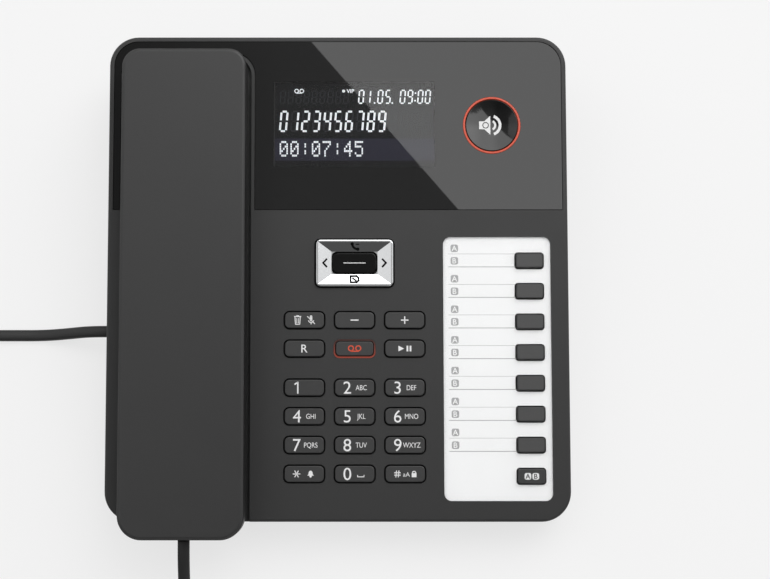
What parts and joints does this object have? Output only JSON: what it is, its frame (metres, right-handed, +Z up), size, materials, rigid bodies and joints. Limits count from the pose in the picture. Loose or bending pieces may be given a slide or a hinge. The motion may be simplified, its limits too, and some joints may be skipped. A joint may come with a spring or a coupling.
{
  "type": "corded telephone",
  "caption": "Corded desk telephone: wedge-shaped base with a dial pad, display and label field, and a handset on a curly cord lying in its trough.",
  "frame": {"origin": "Middle of the footprint of the telephone without its cord, on the table under its feet.", "axes": "+X to the right seen from the user, +Y to the rear of the telephone, +Z up."},
  "size_m": [0.2984, 0.2693, 0.0673],
  "materials": {
    "casing": "fine textured matt",
    "gloss_panel": "polished",
    "display": "dark display glass with light digits",
    "keys": "smooth satin with printed legends",
    "chrome": "satin chrome plating",
    "light": "clear orange light guide",
    "card": "printed card",
    "clear_cover": "clear",
    "rubber": "matt",
    "black_plastic": "smooth",
    "board": "coated printed board",
    "steel": "zinc plated",
    "cord": "soft matt jacket",
    "clear_plug": "clear moulding"
  },
  "bodies": {
    "base": {"lower_shell": "casing", "upper_shell": "casing", "front_panel": "gloss_panel", "lcd_module": "display", "lcd_frame": "black_plastic", "speaker_ring": "light", "messages_light": "light", "label_card": "card", "label_cover": "clear_cover", "keypad_mat": "rubber", "main_board": "board", "loudspeaker": "steel", "handset_socket": "black_plastic", "rear_sockets": "black_plastic", "feet": "rubber", "case_screws": "steel", "board_screws": "steel", "cord_plug_base": "clear_plug", "cord_base_lead": "cord", "cord_curls": "cord", "cord_handset_lead": "cord"},
    "handset": {"handset_top_shell": "casing", "handset_bottom_shell": "casing", "receiver_capsule": "black_plastic", "handset_microphone": "steel", "handset_jack": "black_plastic", "handset_ballast": "steel", "handset_screws": "steel", "cord_plug_handset": "clear_plug"},
    "hook_plunger": {"hook_plunger": "black_plastic"},
    "speaker_key": {"speaker_key": "gloss_panel"},
    "nav_pivot": {"nav_pivot": "black_plastic"},
    "nav_rocker": {"nav_rocker": "chrome"},
    "nav_centre_key": {"nav_centre_key": "gloss_panel"},
    "key_1": {"key_1": "keys"},
    "key_2": {"key_2": "keys"},
    "key_3": {"key_3": "keys"},
    "key_4": {"key_4": "keys"},
    "key_5": {"key_5": "keys"},
    "key_6": {"key_6": "keys"},
    "key_7": {"key_7": "keys"},
    "key_8": {"key_8": "keys"},
    "key_9": {"key_9": "keys"},
    "key_star": {"key_star": "keys"},
    "key_0": {"key_0": "keys"},
    "key_hash": {"key_hash": "keys"},
    "key_delete": {"key_delete": "keys"},
    "key_minus": {"key_minus": "keys"},
    "key_plus": {"key_plus": "keys"},
    "key_flash": {"key_flash": "keys"},
    "key_messages": {"key_messages": "keys"},
    "key_play": {"key_play": "keys"},
    "direct_key_1": {"direct_key_1": "keys"},
    "direct_key_2": {"direct_key_2": "keys"},
    "direct_key_3": {"direct_key_3": "keys"},
    "direct_key_4": {"direct_key_4": "keys"},
    "direct_key_5": {"direct_key_5": "keys"},
    "direct_key_6": {"direct_key_6": "keys"},
    "direct_key_7": {"direct_key_7": "keys"},
    "shift_key": {"shift_key": "keys"}
  },
  "joints": [
    {"name": "handset_lift", "type": "slide", "parent": "base", "child": "handset", "axis": [0, -0.1392, 0.9903], "range_m": [0, 0.06], "deforming": ["cord_handset_lead"]},
    {"name": "hook_travel", "type": "slide", "parent": "base", "child": "hook_plunger", "axis": [0, -0.1392, 0.9903], "range_m": [0, 0.004]},
    {"name": "speaker_press", "type": "slide", "parent": "base", "child": "speaker_key", "axis": [0, 0.1392, -0.9903], "range_m": [0, 0.001], "stiffness_N_per_m": 600},
    {"name": "nav_side_tilt", "type": "hinge", "parent": "base", "child": "nav_pivot", "pos_m": [0.0071, 0.00995, 0.03131], "axis": [0, 0.9903, 0.1392], "range_deg": [-2.5, 2.5], "stiffness_Nm_per_rad": 0.08},
    {"name": "nav_updown_tilt", "type": "hinge", "parent": "nav_pivot", "child": "nav_rocker", "pos_m": [0.0071, 0.00995, 0.03131], "axis": [1, 0, 0], "range_deg": [-2.5, 2.5], "stiffness_Nm_per_rad": 0.08},
    {"name": "nav_centre_press", "type": "slide", "parent": "base", "child": "nav_centre_key", "axis": [0, 0.1392, -0.9903], "range_m": [0, 0.0008], "stiffness_N_per_m": 600},
    {"name": "key_1_press", "type": "slide", "parent": "base", "child": "key_1", "axis": [0, 0.1392, -0.9903], "range_m": [0, 0.001], "stiffness_N_per_m": 600},
    {"name": "key_2_press", "type": "slide", "parent": "base", "child": "key_2", "axis": [0, 0.1392, -0.9903], "range_m": [0, 0.001], "stiffness_N_per_m": 600},
    {"name": "key_3_press", "type": "slide", "parent": "base", "child": "key_3", "axis": [0, 0.1392, -0.9903], "range_m": [0, 0.001], "stiffness_N_per_m": 600},
    {"name": "key_4_press", "type": "slide", "parent": "base", "child": "key_4", "axis": [0, 0.1392, -0.9903], "range_m": [0, 0.001], "stiffness_N_per_m": 600},
    {"name": "key_5_press", "type": "slide", "parent": "base", "child": "key_5", "axis": [0, 0.1392, -0.9903], "range_m": [0, 0.001], "stiffness_N_per_m": 600},
    {"name": "key_6_press", "type": "slide", "parent": "base", "child": "key_6", "axis": [0, 0.1392, -0.9903], "range_m": [0, 0.001], "stiffness_N_per_m": 600},
    {"name": "key_7_press", "type": "slide", "parent": "base", "child": "key_7", "axis": [0, 0.1392, -0.9903], "range_m": [0, 0.001], "stiffness_N_per_m": 600},
    {"name": "key_8_press", "type": "slide", "parent": "base", "child": "key_8", "axis": [0, 0.1392, -0.9903], "range_m": [0, 0.001], "stiffness_N_per_m": 600},
    {"name": "key_9_press", "type": "slide", "parent": "base", "child": "key_9", "axis": [0, 0.1392, -0.9903], "range_m": [0, 0.001], "stiffness_N_per_m": 600},
    {"name": "key_star_press", "type": "slide", "parent": "base", "child": "key_star", "axis": [0, 0.1392, -0.9903], "range_m": [0, 0.001], "stiffness_N_per_m": 600},
    {"name": "key_0_press", "type": "slide", "parent": "base", "child": "key_0", "axis": [0, 0.1392, -0.9903], "range_m": [0, 0.001], "stiffness_N_per_m": 600},
    {"name": "key_hash_press", "type": "slide", "parent": "base", "child": "key_hash", "axis": [0, 0.1392, -0.9903], "range_m": [0, 0.001], "stiffness_N_per_m": 600},
    {"name": "key_delete_press", "type": "slide", "parent": "base", "child": "key_delete", "axis": [0, 0.1392, -0.9903], "range_m": [0, 0.001], "stiffness_N_per_m": 600},
    {"name": "key_minus_press", "type": "slide", "parent": "base", "child": "key_minus", "axis": [0, 0.1392, -0.9903], "range_m": [0, 0.001], "stiffness_N_per_m": 600},
    {"name": "key_plus_press", "type": "slide", "parent": "base", "child": "key_plus", "axis": [0, 0.1392, -0.9903], "range_m": [0, 0.001], "stiffness_N_per_m": 600},
    {"name": "key_flash_press", "type": "slide", "parent": "base", "child": "key_flash", "axis": [0, 0.1392, -0.9903], "range_m": [0, 0.001], "stiffness_N_per_m": 600},
    {"name": "key_messages_press", "type": "slide", "parent": "base", "child": "key_messages", "axis": [0, 0.1392, -0.9903], "range_m": [0, 0.001], "stiffness_N_per_m": 600},
    {"name": "key_play_press", "type": "slide", "parent": "base", "child": "key_play", "axis": [0, 0.1392, -0.9903], "range_m": [0, 0.001], "stiffness_N_per_m": 600},
    {"name": "direct_key_1_press", "type": "slide", "parent": "base", "child": "direct_key_1", "axis": [0, 0.1392, -0.9903], "range_m": [0, 0.001], "stiffness_N_per_m": 600},
    {"name": "direct_key_2_press", "type": "slide", "parent": "base", "child": "direct_key_2", "axis": [0, 0.1392, -0.9903], "range_m": [0, 0.001], "stiffness_N_per_m": 600},
    {"name": "direct_key_3_press", "type": "slide", "parent": "base", "child": "direct_key_3", "axis": [0, 0.1392, -0.9903], "range_m": [0, 0.001], "stiffness_N_per_m": 600},
    {"name": "direct_key_4_press", "type": "slide", "parent": "base", "child": "direct_key_4", "axis": [0, 0.1392, -0.9903], "range_m": [0, 0.001], "stiffness_N_per_m": 600},
    {"name": "direct_key_5_press", "type": "slide", "parent": "base", "child": "direct_key_5", "axis": [0, 0.1392, -0.9903], "range_m": [0, 0.001], "stiffness_N_per_m": 600},
    {"name": "direct_key_6_press", "type": "slide", "parent": "base", "child": "direct_key_6", "axis": [0, 0.1392, -0.9903], "range_m": [0, 0.001], "stiffness_N_per_m": 600},
    {"name": "direct_key_7_press", "type": "slide", "parent": "base", "child": "direct_key_7", "axis": [0, 0.1392, -0.9903], "range_m": [0, 0.001], "stiffness_N_per_m": 600},
    {"name": "shift_key_press", "type": "slide", "parent": "base", "child": "shift_key", "axis": [0, 0.1392, -0.9903], "range_m": [0, 0.001], "stiffness_N_per_m": 600}
  ],
  "couplings": [
    {"joint": "hook_travel", "follows": "handset_lift", "ratio": 0.066666}
  ]
}
